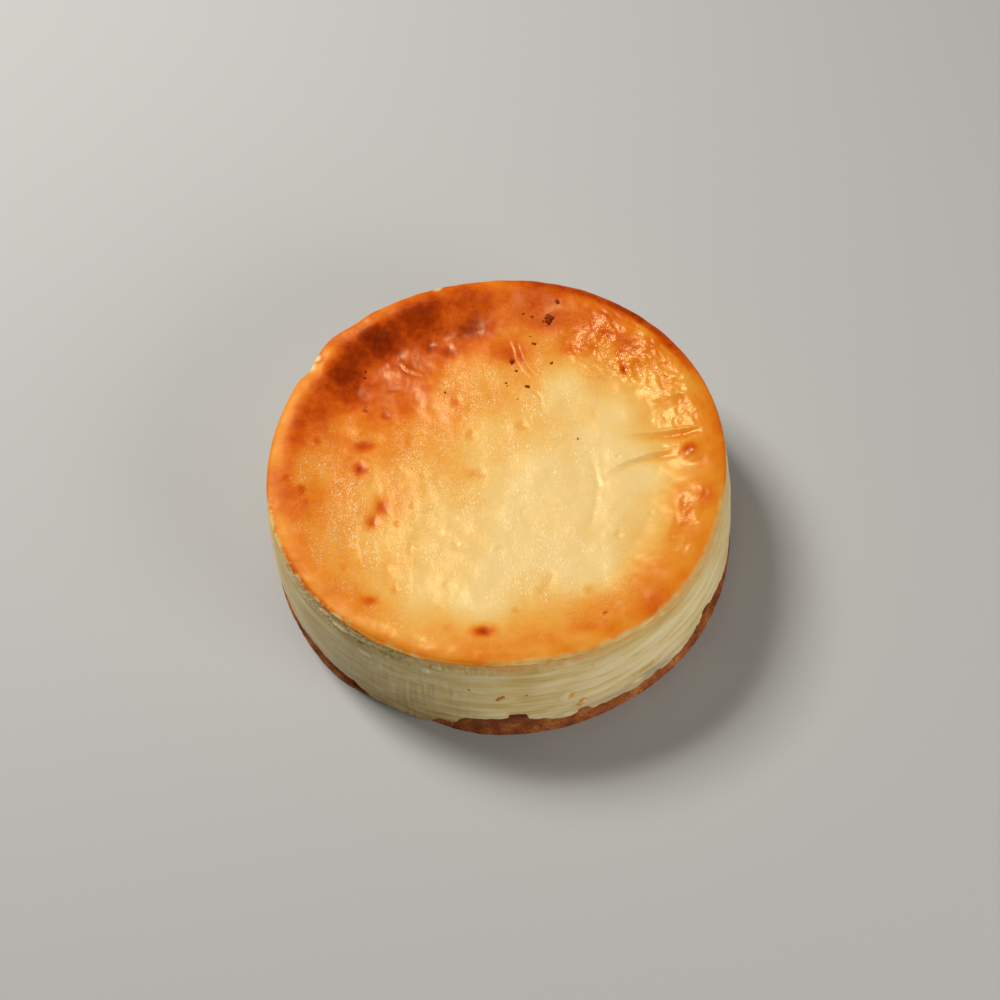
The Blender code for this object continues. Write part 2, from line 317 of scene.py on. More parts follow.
def turn_in_and_close(mesh, level, inwards):
    """Turns the open edge at a height inwards, then along Z, and closes it with one face."""
    select_edges(mesh, lambda ends: on_rim(ends) & (np.abs(ends[..., 2] - level) < TOLERANCE).all(axis=1))
    bpy.ops.mesh.extrude_region_move()
    bpy.ops.transform.resize(value=(TURNED_IN, TURNED_IN, 1), center_override=(0, 0, level))
    bpy.ops.mesh.extrude_region_move(TRANSFORM_OT_translate={"value": (0, 0, inwards)})
    bpy.ops.mesh.edge_face_add()


def finish_plain(piece):
    """Turns every face outwards and leaves the piece smooth, in object mode."""
    bpy.ops.mesh.select_all(action="SELECT")
    bpy.ops.mesh.normals_make_consistent(inside=False)
    bpy.ops.object.mode_set(mode="OBJECT")
    piece.data.shade_smooth()
    return piece


def plain_puck(name, count, rows):
    """Unit puck: a gridded face at z 0 and a side in rows down to z -1, hollow and closed below."""
    bpy.ops.object.select_all(action="DESELECT")
    bpy.ops.mesh.primitive_grid_add(x_subdivisions=count, y_subdivisions=count, size=2)
    puck = bpy.context.object
    puck.name = puck.data.name = name
    mesh = puck.data
    move_vertices(mesh, disc_from_square(coordinates(mesh)))
    select_edges(mesh, on_rim)
    bpy.ops.mesh.extrude_region_move(TRANSFORM_OT_translate={"value": (0, 0, -1)})
    select_edges(mesh, upright)
    bpy.ops.mesh.subdivide(number_cuts=rows - 1)
    turn_in_and_close(mesh, -1, 0.5)
    return finish_plain(puck)


def plain_wall(name, sides, rows):
    """Unit round wall in rows from z 0 down to -1, turned in and closed at both ends."""
    bpy.ops.object.select_all(action="DESELECT")
    bpy.ops.mesh.primitive_cylinder_add(vertices=sides, radius=1, depth=1, end_fill_type="NOTHING")
    wall = bpy.context.object
    wall.name = wall.data.name = name
    mesh = wall.data
    move_vertices(mesh, coordinates(mesh) - np.array([0, 0, 0.5]))
    select_edges(mesh, upright)
    bpy.ops.mesh.subdivide(number_cuts=rows - 1)
    turn_in_and_close(mesh, -1, 0.3)
    turn_in_and_close(mesh, 0, -0.3)
    return finish_plain(wall)


def paint(mesh, name, values):
    """Stores one number a vertex, for the material to read."""
    layer = mesh.attributes.new(name, "FLOAT", "POINT")
    layer.data.foreach_set("value", np.clip(values, 0.0, 1.0).astype(np.float32))


def joined_lumps(name, rounds, centres, lengths, seed, flatness=0.6, outwards=None):
    """Many small uneven lumps as one mesh; each is a rounded solid turned and stretched at random.

    With outwards, a unit vector a lump, the lump is flattened along that direction.
    """
    bpy.ops.object.select_all(action="DESELECT")
    bpy.ops.mesh.primitive_ico_sphere_add(subdivisions=rounds, radius=0.5)
    pattern = bpy.context.object
    unit = coordinates(pattern.data)
    faces = np.array([list(face.vertices) for face in pattern.data.polygons])
    bpy.data.objects.remove(pattern)
    rng = np.random.default_rng(seed)
    blocks = []
    for index, (centre, length) in enumerate(zip(centres, lengths)):
        # The pattern is 1 m long, so these dents are a third of the lump.
        dents = grain(unit, 330, seed + index * 0.37)
        lump = unit * (1 + 0.65 * dents)[:, None]
        lump *= rng.uniform(0.65, 1.0, 3)
        lump[:, 2] *= flatness
        if outwards is None:
            axis = Vector(rng.normal(size=3)).normalized()
        else:
            axis = Vector(outwards[index])
        turn = Matrix.Rotation(rng.uniform(0, 2 * math.pi), 3, "Z")
        facing = axis.to_track_quat("Z", "Y").to_matrix() @ turn
        blocks.append(lump @ np.array(facing).T * length + centre)
    mesh = bpy.data.meshes.new(name)
    starts = np.arange(len(blocks)) * len(unit)
    every_face = (faces[None] + starts[:, None, None]).reshape(-1, 3)
    mesh.from_pydata(np.concatenate(blocks).tolist(), [], every_face.tolist())
    mesh.update()
    mesh.shade_smooth()
    piece = bpy.data.objects.new(name, mesh)
    bpy.context.collection.objects.link(piece)
    return piece


# ---- relief of the top
def dish_height(angle, radius):
    """Height of the dished top inside the crest of the rim."""
    steep = sector(angle, STEEP_SIDE, STEEP_HALF_WIDTH)
    crest_radius = skin_edge_radius(angle) - CREST_INSET
    outwards = radius / crest_radius
    wander = 3.0 * MM * grain(circle(angle, radius, 0.0), 22, 61) * smooth_step((1 - outwards) * 8)
    slope = smooth_step((crest_radius - radius + wander) / (DISH_SLOPE_WIDTH - STEEP_NARROWING * steep))
    depth = DISH_DEPTH + STEEP_EXTRA_DEPTH * steep * smooth_step(outwards)
    crest = MEAN_CREST_HEIGHT + waves(angle, CREST_WAVES) * smooth_step(outwards)
    return crest - depth * slope - CENTRE_SAG * smooth_step(1 - outwards)


def marks_on_top(x, y):
    """Relief, in metres, of the swells, pits, splits and creases on the top."""
    relief = np.zeros_like(x)
    level = np.stack([x, y, 0 * x], axis=1) * MM
    x = x + 0.9 * grain(level, 6, 56) + 0.4 * grain(level, 2.5, 57)
    y = y + 0.9 * grain(level, 6, 58) + 0.4 * grain(level, 2.5, 59)
    for *place, rise in TOP_SWELLS:
        relief += rise * hump(oval(x, y, *place), 1.0)
    for *place, depth, _ in PITS:
        away = oval(x, y, *place)
        relief -= 0.55 * depth * hump(away, 1.0) - 0.05 * depth * hump(away - 1.15, 0.5)
    for away, half, depth, along in creases(x, y):
        relief -= 0.8 * depth * hump(away, half) * along
    relief -= 0.8 * splits(x, y)
    return relief * MM


def creases(x, y):
    """For each crease: distance from its line, half width, depth, and a share that fades at its ends."""
    for centre_x, centre_y, radius, start, end, half, depth in CREASES:
        away = np.hypot(x - centre_x, y - centre_y) - radius
        angle = np.degrees(np.arctan2(y - centre_y, x - centre_x))
        along = between(angle, (start + end) / 2) / ((end - start) / 2)
        yield away, half, depth, smooth_step((1 - along) * 1.6)


def splits(x, y):
    """1 where the skin has split away, 0 elsewhere."""
    return sum(hump(np.hypot(x - at_x, y - at_y), half) for at_x, at_y, half in SPLITS)


def wet_wrinkles(points, angle, radius):
    """Glossy wrinkles in the skin along the right rim: (relief in metres, how wrinkled it is)."""
    bent = radius + 2.5 * MM * grain(points, 13, 51)
    rim = unrolled(angle, bent)
    # They start 66 mm out, further in at the back right and further out at the front right.
    inner = 66 - 9 * sector(angle, 48, 26) + 8 * sector(angle, 335, 22)
    where = smooth_step((radius / MM - inner) / 9) * smooth_step((94 * MM - radius) / (3 * MM))
    where *= np.clip(1.6 * sector(angle, 30, 42) + 0.5 * sector(angle, 333, 22), 0, 1)
    patchy = 0.45 + 0.55 * smooth_step(0.4 + 1.6 * grain(points, 15, 52))
    folds = 1 - 2.4 * np.abs(grain(rim, (13, 4.2, 1), 3))
    fine = 1 - 2.4 * np.abs(grain(rim, (5.5, 2.2, 1), 4))
    finest = grain(rim, (2.4, 1.3, 1), 70)
    return where * patchy * (0.6 * folds + 0.34 * fine + 0.08 * finest) * MM, where * patchy


def streaked_skin(points, x, y):
    """Soft streaks and pimples that run away from the front over the left of the top, in metres."""
    # Over the left but not on the rim, weaker at the back left and stronger along the left.
    left = smooth_step((-8 - x) / 34) * smooth_step((87 - np.hypot(x, y)) / 10)
    left *= 1 - 0.6 * hump(np.hypot(x + 44, y - 44), 44)
    bent = points.copy()
    bent[:, 0] += 3 * MM * grain(points, 20, 53)
    streaks = grain(bent, (3.4, 12, 50), 5) + 0.6 * grain(bent, (1.9, 5, 50), 6)
    patchy = 0.45 + 0.55 * smooth_step(0.5 + 1.3 * grain(points, 17, 54))
    ridged = 1 + 0.9 * hump(oval(x, y, -62, -16, 15, 38), 1.0)
    return left * patchy * 0.13 * ridged * streaks * MM


def shape_top(plain):
    """Points of the skin's top for the puck's gridded face."""
    angle = angle_of(plain)
    edge = skin_edge_radius(angle)
    radius = np.hypot(plain[:, 0], plain[:, 1]) * edge
    points = circle(angle, radius, 0.0)
    x, y = points[:, 0] / MM, points[:, 1] / MM
    height = dish_height(angle, np.minimum(radius, edge - CREST_INSET))
    slumped = steps(angle, SLUMPS)
    inset = CREST_INSET + SLUMP_WIDENING * slumped
    over = np.clip((radius - edge + inset) / inset, 0, 1)
    shoulder = SHOULDER_DROP + SLUMP_DROP * slumped - 0.6 * MM * grain(circle(angle, edge, 0.0), 7, 7)
    height -= shoulder * (1 - np.sqrt(np.clip(1 - over ** 3, 0, 1)))
    crinkle = grain(points, 9, 67) + 0.5 * grain(points, 3, 69)
    height -= 0.3 * MM * smooth_step(over * 2.5) * (0.5 + crinkle)
    # Lumps of 22, 9 and 4 mm, pimples of 2 mm, and less of all of them over the edge.
    lumps = 0.5 * grain(points, 22, 8) + 0.4 * grain(points, 9, 9) + 0.11 * grain(points, 4.2, 55)
    pimpled = smooth_step((44 - x) / 40) * smooth_step((90 - np.hypot(x, y)) / 12)
    pimples = (0.01 + 0.03 * pimpled) * grain(points, 1.9, 10)
    wrinkles, _ = wet_wrinkles(points, angle, radius)
    relief = (lumps + pimples) * MM + wrinkles + streaked_skin(points, x, y) + marks_on_top(x, y)
    points[:, 2] = np.minimum(height + relief * (1 - 0.75 * over), HIGHEST_SKIN)
    points[:, :2] *= (1 + SKIN_STAND / edge * over)[:, None]
    return points


def on_top(x, y):
    """Points of the top above these places, given in mm."""
    angle = np.degrees(np.arctan2(y, x))
    plain = np.stack([x, y, 0 * x], axis=1) * MM / skin_edge_radius(angle)[:, None]
    return shape_top(plain)


def edge_height(angle):
    """Height of the outer edge of the skin."""
    return shape_top(circle(angle, 1.0, 0.0))[:, 2]


# ---- relief of the side
# Lumps and lapped smears on the side: (angle, height, half width in degrees, half height, rise), in mm.
SIDE_LUMPS = (
    (280, 26.5, 2, 2.8, 1.4), (283.5, 19, 2, 3, 0.4), (257, 37, 0.8, 0.9, 0.6),
    (231, 39.6, 2.8, 1.1, 0.6), (229, 37.6, 1.6, 0.8, 0.4), (237.5, 35.6, 5.4, 0.9, 0.6),
    (243, 37, 2, 0.8, 0.4), (247, 44.5, 1.6, 1.6, 0.6), (250, 47.5, 1.6, 1.2, 0.5),
    (223, 46, 3.4, 1.2, 0.6), (218, 47.5, 2, 1, 0.5), (229, 45, 2.4, 1.4, -0.6),
    (236, 46, 5, 1.4, -0.4), (308, 38.5, 11, 3.6, 0.9), (290, 35.5, 10, 2.2, 0.6),
    (316, 31, 16, 2.2, 0.7), (298, 29, 9, 1.8, 0.6), (303, 25, 12, 2, 0.8), (288, 22, 5, 1.6, 0.5),
    (292, 16, 3, 2, 0.6), (299, 13, 2.4, 2.2, 0.7), (306, 17, 4, 2.4, 0.5), (250, 17, 12, 1.8, 0.7),
    (256, 24, 9, 1.6, 0.6), (246, 11, 10, 1.8, 0.7), (262, 19.5, 5, 1.4, 0.6), (275, 13, 4, 2.6, 0.5),
    (280.5, 11, 2.6, 2, 0.7), (30, 26, 16, 3, 0.6), (58, 34, 18, 3, 0.6), (84, 20, 14, 3, 0.6),
    (112, 30, 18, 3.4, 0.6), (140, 22, 16, 3, 0.6), (170, 36, 14, 3, 0.5), (190, 18, 14, 3, 0.6),
)
# Half width in degrees from which a mark on the side is a wide smear and has soft edges.
WIDE_SMEAR = 6
SIDE_RELIEF_LIMIT = 0.85 * MM
# Laps left by the knife: (pitch, depth, share of it that stays on the right, seed), in mm.
KNIFE_LAPS = ((7.4, 0.75, 0.6, 13), (2.7, 0.34, 0.8, 14))
LAP_RISE = 0.2


def side_profile(angle, z):
    """Outside of the filling without its fine relief, with a broad hollow at the right."""
    rise = np.clip((z - SIDE_FOOT) / (CAKE_HEIGHT - SKIN_EDGE_DROP - SIDE_FOOT), 0, 1.1) ** SIDE_LEAN
    bulge = BULGE_RADIUS + marks(angle, BULGE_MARKS)
    bulge = bulge - 0.5 * MM * sector(angle, 0, 50) * hump(z - 30 * MM, 26 * MM)
    return bulge + (skin_edge_radius(angle) - bulge) * rise


def knife_laps(points, angle, z):
    """Lapped layers smeared round the side, each with a sharper lower edge, in metres."""
    drift = 5.0 * MM * grain(points, 50, 11) + 1.6 * MM * grain(points, (18, 18, 30), 12)
    right = np.clip(sector(angle, 308, 52) + sector(angle, 60, 80), 0, 1)
    relief = np.zeros_like(z)
    for pitch, depth, right_share, seed in KNIFE_LAPS:
        phase = ((z + drift) / (pitch * MM)) % 1.0
        fall = 1 - smooth_step((phase - LAP_RISE) / (1 - LAP_RISE))
        lap = np.where(phase < LAP_RISE, smooth_step(phase / LAP_RISE), fall)
        strength = 0.5 + 0.8 * grain(points, (24, 24, 8), seed)
        relief += depth * MM * lap * strength * (1 - right_share + right_share * right)
    return relief * smooth_step((47 * MM - z) / (8 * MM))


def side_relief(points, angle, z):
    """Everything finer than the profile on the side of the filling, in metres."""
    relief = knife_laps(points, angle, z)
    bent = points.copy()
    bent[:, 2] += 2.5 * MM * grain(points, 40, 15)
    relief += 0.26 * MM * grain(bent, (30, 30, 1.9), 16) + 0.14 * MM * grain(bent, (12, 12, 1), 17)
    scored = sector(angle, 241, 28) * smooth_step((44 * MM - z) / (6 * MM))
    relief += 0.26 * MM * scored * grain(points, (1.4, 1.4, 30), 18)
    crumbling = z - 44 * MM - 3 * MM * grain(points, 9, 68)
    porous = smooth_step(crumbling / (4 * MM)) * (0.3 + 0.7 * sector(angle, 225, 60))
    pores = 0.42 * grain(points, (1.4, 1.4, 1.1), 19) + 0.35 * grain(points, (4, 4, 2.4), 20)
    relief += porous * pores * MM + 0.3 * MM * grain(points, (13, 13, 6), 21)
    torn = 0.45 * grain(points, (4, 4, 2), 71)
    for centre, height, half, half_height, rise in SIDE_LUMPS:
        across = np.hypot(between(angle, centre) / half, (z / MM - height) / half_height)
        if half < WIDE_SMEAR:
            relief += rise * MM * smooth_step((1 + torn - across) * 1.6)
        else:
            relief += rise * MM * hump(across + 0.2 * torn, 1.0)
    return SIDE_RELIEF_LIMIT * np.tanh(relief / SIDE_RELIEF_LIMIT)


def on_side(angle, z):
    """Points of the filling's side at these angles and heights."""
    at = circle(angle, side_profile(angle, z), z)
    return circle(angle, side_profile(angle, z) + side_relief(at, angle, z), z)


# ---- the filling and its skin
TOP_CELLS = 296
HANG_ROWS = 6
# One side for each cell along the edge of the grid, so that the skin and the side match.
SIDE_COUNT = 4 * TOP_CELLS
SIDE_ROWS = 78
# Both pieces are open shells turned in under the rim and closed at this level, out of sight.
HIDDEN_LEVEL = 43.0 * MM
SKIN_TURN_IN = 1.2 * MM
SKIN_WALL = 4.0 * MM
BODY_TURN_IN = 1.5 * MM
BODY_WALL = 5.0 * MM
UNDER_SKIN = 0.5 * MM
PRESSED_IN = 0.6 * MM

# The ring of browning towards the rim: its depth, and marks (angle, half width, change) that alter it.
RING_BROWNING = 0.66
RING_MARKS = (
    (120, 34, 0.3), (158, 26, -0.2), (195, 34, -0.42), (240, 26, -0.16), (66, 26, -0.08),
    (44, 22, 0.08), (305, 30, 0.06),
)
# Above this the browning levels off, so that no place turns black.
BROWNING_LIMIT = 0.8


def browning_of_top(points, angle, radius):
    """How deeply the skin has browned, from 0 for pale custard to 1 for nearly burnt."""
    x, y, out = points[:, 0] / MM, points[:, 1] / MM, radius / MM
    # Deeper towards the back left, and in a ring at the rim that is narrower at the front.
    back_left = -0.643 * x + 0.766 * y
    field = 0.74 * smooth_step((back_left + 30) / 90)
    ring_start = 52 + 7 * np.cos(np.radians(angle - 280)) + 8 * grain(points, 16, 62)
    ring = smooth_step((out - ring_start) / (85 - ring_start))
    browning = field + (1 - field) * ring * (RING_BROWNING + marks(angle, RING_MARKS))
    # The crest is paler at the back left and streaked there, and darker at the right and in one front place.
    browning -= 0.22 * smooth_step((out - 86) / 8) * sector(angle, 140, 100)
    streaks = grain(unrolled(angle, radius), (4, 13, 1), 66)
    browning += 0.08 * streaks * sector(angle, 125, 70) * ring
    browning += 0.22 * smooth_step((out - 90) / 4) * sector(angle, 40, 50)
    # At the front left the outer edge is darker: partly deeper browning, partly painted shade where the rim
    # turns down.
    browning += 0.16 * smooth_step((out - 87) / 4) * sector(angle, 243, 16)
    browning += 0.13 * grain(points, 17, 22) + 0.05 * grain(points, 6, 23)
    for *place, change in BROWN_PATCHES:
        browning += change * hump(oval(x, y, *place), 1.0)
    # Spots add less where the skin is dark already.
    room = smooth_step((1.05 - browning) / 0.4)
    for *place, _, depth in PITS:
        browning += depth * room * hump(oval(x, y, *place), 1.25)
    for away, half, depth, along in creases(x, y):
        browning += 0.16 * np.clip(depth, -0.3, 1) * hump(away, 1.4 * half) * along
    # Raised wrinkles are paler: 0.15 for each millimetre.
    wrinkles, _ = wet_wrinkles(points, angle, radius)
    browning -= 0.15 * wrinkles / MM
    spare = 1 - BROWNING_LIMIT
    levelled = BROWNING_LIMIT + spare * np.tanh((browning - BROWNING_LIMIT) / (1.6 * spare))
    return np.where(browning < BROWNING_LIMIT, browning, levelled)


def split_by_place(plain, lower_end):
    """Masks for the outer side and for the turned-in rings of one end of a plain piece."""
    around = np.hypot(plain[:, 0], plain[:, 1])
    turned = around < (1 + TURNED_IN) / 2
    at_end = np.abs(plain[:, 2] - lower_end) < TOLERANCE
    return around > 0.999, turned & at_end, turned & ~at_end


def paint_skin(mesh, points, angle, hanging):
    """Paints the looks of the skin; hanging is 0 on top and 1 where it ends on the side."""
    x, y, out = points[:, 0] / MM, points[:, 1] / MM, np.hypot(points[:, 0], points[:, 1]) / MM
    browning = browning_of_top(points, angle, out * MM)
    drip = sector(angle, 225, 42) * smooth_step((out - 92) / 3)
    soft_edge = steps(angle, ((304, 44, 8, 1.0),))
    # Pale breaks in the edge: at 241 degrees the skin is worn bare; at 206 degrees it is partly bare filling
    # and partly a painted highlight standing in for glints along the edge.
    worn_and_glinting_edge = steps(angle, ((241, 9, 5, 0.5), (206, 26, 10, 0.8)))
    past_edge = out - skin_edge_radius(angle) / MM
    ragged = grain(points, 5, 63) + 0.5 * grain(points, 1.6, 64)
    bare_and_glint_edge = soft_edge * smooth_step((past_edge + 2.0 + 0.8 * ragged) / 3.0)
    bare_and_glint_edge += worn_and_glinting_edge * smooth_step((past_edge + 0.6 + 2.2 * ragged) / 0.8)
    _, wet = wet_wrinkles(points, angle, out * MM)
    paint(mesh, "browning", browning + 0.3 * drip - 0.25 * soft_edge * hanging)
    paint(mesh, "bare_and_glinting", splits(x, y) * 1.6 + bare_and_glint_edge)
    paint(mesh, "wet", wet)
    paint(mesh, "dry", smooth_step((out - 84) / 6) * sector(angle, 185, 90))
    # Pale grains, partly painted glints, show most at the left, less along the front rim, and fade out on
    # dark skin.
    grains_and_glints = smooth_step((78 - x) / 60) * smooth_step((92 - out) / 10)
    grains_and_glints *= 1 - 0.75 * sector(angle, 265, 62) * smooth_step((out - 56) / 14)
    grains_and_glints *= (1 - 0.8 * smooth_step((browning - 0.55) / 0.25)) * smooth_step((0.95 - browning) / 0.25)
    # They are denser in streaks at the left, where they stand in for a painted sheen.
    grains_and_glints *= 0.35 + 0.75 * smooth_step(0.5 + 1.3 * grain(points, (6, 15, 50), 27))
    paint(mesh, "grains_and_glints", grains_and_glints)


def make_skin():
    """Browned skin: the dished top, its rolled edge and the short hang over the side."""
    skin = plain_puck("baked_skin", TOP_CELLS, HANG_ROWS)
    mesh = skin.data
    plain = coordinates(mesh)
    angle = angle_of(plain)
    top = plain[:, 2] > -TOLERANCE
    outer, lip, inner = split_by_place(plain, -1)
    hang = outer & ~top
    lip &= ~top
    inner &= ~top
    points = plain.copy()
    points[top] = shape_top(plain[top])
    side = angle[hang]
    down = -plain[hang, 2]
    upper = edge_height(side)
    z = upper + (skin_lower_edge(side, upper) - upper) * down
    rolled = np.maximum(side_profile(side, z), skin_edge_radius(side))
    points[hang] = circle(side, rolled + SKIN_STAND * (1 - 0.5 * down ** 2), z)
    side = angle[lip]
    z = skin_lower_edge(side, edge_height(side))
    points[lip] = circle(side, side_profile(side, z) - SKIN_TURN_IN, z)
    side = angle[inner]
    points[inner] = circle(side, side_profile(side, HIDDEN_LEVEL) - SKIN_WALL, HIDDEN_LEVEL)
    move_vertices(mesh, points)
    paint_skin(mesh, points, angle, np.where(hang | lip, -plain[:, 2], 0))
    return skin


# Stains on the side: (angle, height in mm, half width in degrees, half height in mm, strength).
CARAMEL_STAINS = (
    (284.2, 20.5, 1.2, 2.2, 0.9), (283, 17.5, 1.4, 2, 0.9), (281.6, 26.5, 0.9, 2.4, 0.9),
    (257.8, 37.2, 0.5, 0.6, 0.8), (298.5, 36, 0.5, 1.2, 0.4), (287.5, 43, 0.5, 1.6, 0.3),
    (265.5, 32, 1.2, 1.4, 0.35), (271, 32, 1, 1, 0.3),
)
OLIVE_STAINS = ((301.5, 20.2, 3.2, 1.2, 0.7), (305, 20.8, 1.5, 0.8, 0.5), (279, 30, 2, 2, 0.3))


def stains(points, angle, rows):
    """Soft uneven stains on the side."""
    ragged = 0.8 * grain(points, 1.7, 26)
    total = np.zeros_like(angle)
    for centre, height, half, half_height, strength in rows:
        away = np.hypot(between(angle, centre) / half, (points[:, 2] / MM - height) / half_height)
        total += strength * smooth_step((1.25 - away + ragged) * 1.2)
    return total


def make_body():
    """Cream-cheese body: its smeared side, its porous top edge and its torn lower lip."""
    body = plain_wall("cheese_body", SIDE_COUNT, SIDE_ROWS)
    mesh = body.data
    plain = coordinates(mesh)
    angle = angle_of(plain)
    outer, lip, inner_lip = split_by_place(plain, -1)
    _, upper_rim, inner_rim = split_by_place(plain, 0)
    upper_half = plain[:, 2] > -0.5
    inner_lip &= ~upper_half
    inner_rim &= upper_half
    points = plain.copy()

    # Rows are even down to the lip, and only the lowest ones follow its tears.
    side = angle[outer]
    low = lip_height(side)
    upper = edge_height(side)
    share = 1 + plain[outer, 2]
    z = LIP_HEIGHT + (upper - UNDER_SKIN - LIP_HEIGHT) * share + (low - LIP_HEIGHT) * (1 - share) ** 4
    profile = side_profile(side, z)
    relief = side_relief(circle(side, profile, z), side, z)
    free = smooth_step((skin_lower_edge(side, upper) + 0.2 * MM - z) / (0.8 * MM))
    round_lip = 0.9 * MM * (1 - smooth_step((z - low) / (1.5 * MM))) ** 2
    points[outer] = circle(side, profile + relief * free - 0.25 * MM * (1 - free) - round_lip, z)

    around = angle[lip]
    z = lip_height(around) + 0.3 * MM
    points[lip] = circle(around, base_radius(around, z) - PRESSED_IN, z)
    around = angle[inner_lip]
    points[inner_lip] = circle(around, base_radius(around, BASE_THICKNESS) - PRESSED_IN, BASE_THICKNESS)
    around = angle[upper_rim]
    z = edge_height(around) - UNDER_SKIN
    points[upper_rim] = circle(around, side_profile(around, z) - BODY_TURN_IN, z)
    around = angle[inner_rim]
    z = HIDDEN_LEVEL + UNDER_SKIN
    points[inner_rim] = circle(around, side_profile(around, HIDDEN_LEVEL) - BODY_WALL, z)
    move_vertices(mesh, points)

    height = points[:, 2] / MM
    edge_tone = 0.3 + steps(angle, ((300, 52, 20, 0.75), (205, 16, 12, 0.5)))
    toasted = smooth_step((height - 45.5) / 6) * edge_tone * (1 + 1.4 * grain(points, (4, 4, 2.4), 24))
    ashen = sector(angle, 304, 34) * hump(height - 13, 8) * (0.7 + 1.2 * grain(points, (8, 8, 2), 25))
    # Painted shade on the lower side at the front left, darker towards the foot where the cake's own shadow
    # falls.
    painted_shade = steps(angle, ((240, 26, 18, 0.7),)) * (0.15 + 0.85 * smooth_step((36 - height) / 28))
    # Painted light from the side's relief: below 0.5 the creases get painted shade, above it the ridges get
    # a painted highlight.
    smeared = np.full(len(points), 0.5)
    smeared[outer] = 0.5 + relief / (1.2 * MM)
    paint(mesh, "toasted", toasted)
    paint(mesh, "caramel", stains(points, angle, CARAMEL_STAINS))
    paint(mesh, "olive", stains(points, angle, OLIVE_STAINS))
    paint(mesh, "ashen", ashen)
    paint(mesh, "painted_shade", painted_shade * (1 + 0.6 * grain(points, (9, 9, 3), 65)))
    paint(mesh, "smeared", smeared)
    return body


# Burnt chips that fell on the skin: (x, y, spread, chips, length), lengths in mm.
BURNT_FLECKS = (
    (30.3, 71.7, 1.3, 6, 2.9), (30, 71, 3, 10, 1.2), (34.7, 78.8, 0.8, 3, 1.9),
    (34.2, 77.6, 1.4, 3, 0.8), (22.5, 74.2, 0.7, 2, 1.2), (19.2, 76.3, 0.7, 2, 1.2),
    (22, 60.8, 1, 3, 1.5), (20.8, 65, 0.3, 1, 0.9), (11.7, 52.8, 0.7, 3, 2.1), (13, 48.3, 0.6, 2, 1.3),
    (27.8, 50, 0.8, 3, 1.7), (16.7, 39.7, 0.8, 3, 1.4), (8, 42.5, 0.4, 1, 1), (8.2, 40.8, 0.3, 1, 0.8),
    (12, 33.7, 0.5, 1, 1.2), (35, 10.5, 0.3, 1, 1.5), (-19, 41.3, 0.4, 1, 1),
    (-52.5, 57.5, 0.6, 2, 1.1), (-53, 55, 0.8, 2, 1.2), (-30.5, 63, 0.3, 1, 0.9),
)


def make_burnt_flecks():
    """Burnt scraps of skin that lie on the top in small groups."""
    rng = np.random.default_rng(5)
    places = []
    lengths = []
    for x, y, spread, chips, length in BURNT_FLECKS:
        for _ in range(chips):
            places.append((x + rng.normal(0, spread * 0.5), y + rng.normal(0, spread * 0.5)))
            lengths.append(length * rng.uniform(0.7, 1.3) * MM)
    places = np.array(places)
    centres = on_top(places[:, 0], places[:, 1])
    outwards = np.array([(0, 0, 1)] * len(places)) + rng.normal(0, 0.25, (len(places), 3))
    return joined_lumps("burnt_flecks", 2, centres, lengths, 60, 0.5, outwards)


# Caramel specks on the side: (angle, height in mm, length in mm).
CARAMEL_SPECKS = (
    (265.2, 32.2, 3.4), (264.5, 31.2, 2.6), (265.8, 33.2, 2.2), (266.8, 32, 1.2), (263.5, 30.2, 1.2),
    (271.2, 32.8, 2), (270.4, 32.1, 1), (272.3, 31.8, 1.1), (269.5, 31.4, 0.8), (272.6, 30.9, 0.8),
    (257.8, 37.3, 1.6),
)


def make_caramel_specks():
    """Thin specks of caramel stuck to the side."""
    angles, heights, lengths = np.array(CARAMEL_SPECKS).T
    outwards = circle(angles, 1.0, 0.0)
    centres = on_side(angles, heights * MM) - 0.1 * MM * outwards
    return joined_lumps("caramel_specks", 2, centres, lengths * MM, 70, 0.22, outwards)


# How many crumbs of filling: near the front left and all round under the skin, and down the side.
RIM_CRUMBS = 260
SIDE_CRUMBS = 150


def make_curd_crumbs():
    """Crumbs of filling along the porous edge under the skin, and down the side at the front left."""
    rng = np.random.default_rng(11)
    angles = np.concatenate([rng.normal(222, 22, RIM_CRUMBS), rng.uniform(0, 360, RIM_CRUMBS),
                             rng.normal(226, 10, SIDE_CRUMBS)])
    below = [np.abs(rng.normal(0, 2.6, 2 * RIM_CRUMBS)), rng.uniform(0.5, 8, SIDE_CRUMBS)]
    z = skin_lower_edge(angles, edge_height(angles)) - 0.3 * MM - np.concatenate(below) * MM
    lengths = [rng.uniform(0.35, 1.15, 2 * RIM_CRUMBS) ** 1.5, rng.uniform(0.8, 2.2, SIDE_CRUMBS)]
    lengths = np.concatenate(lengths) * MM
    outwards = circle(angles, 1.0, 0.0)
    centres = on_side(angles, z) - 0.1 * lengths[:, None] * outwards
    crumbs = joined_lumps("curd_crumbs", 1, centres, lengths, 80, 0.5, outwards)
    count = len(crumbs.data.vertices)
    # The crumbs take a little of the painted ridge highlight.
    paint(crumbs.data, "smeared", np.full(count, 0.6))
    # Crumbs at the front left get the same painted shade as the side there.
    painted_shade = 0.5 * sector(angles, 240, 40)
    paint(crumbs.data, "painted_shade", np.repeat(painted_shade, count // len(angles)))
    return crumbs


# How many crumbs of biscuit: all round the base, and in two groups at its front left.
BASE_CRUMBS = 520
NEAR_CRUMBS = (40, 60)
SAFE_RADIUS = min(-BASE_LOW[0], -BASE_LOW[1], BASE_HIGH[0], BASE_HIGH[1])


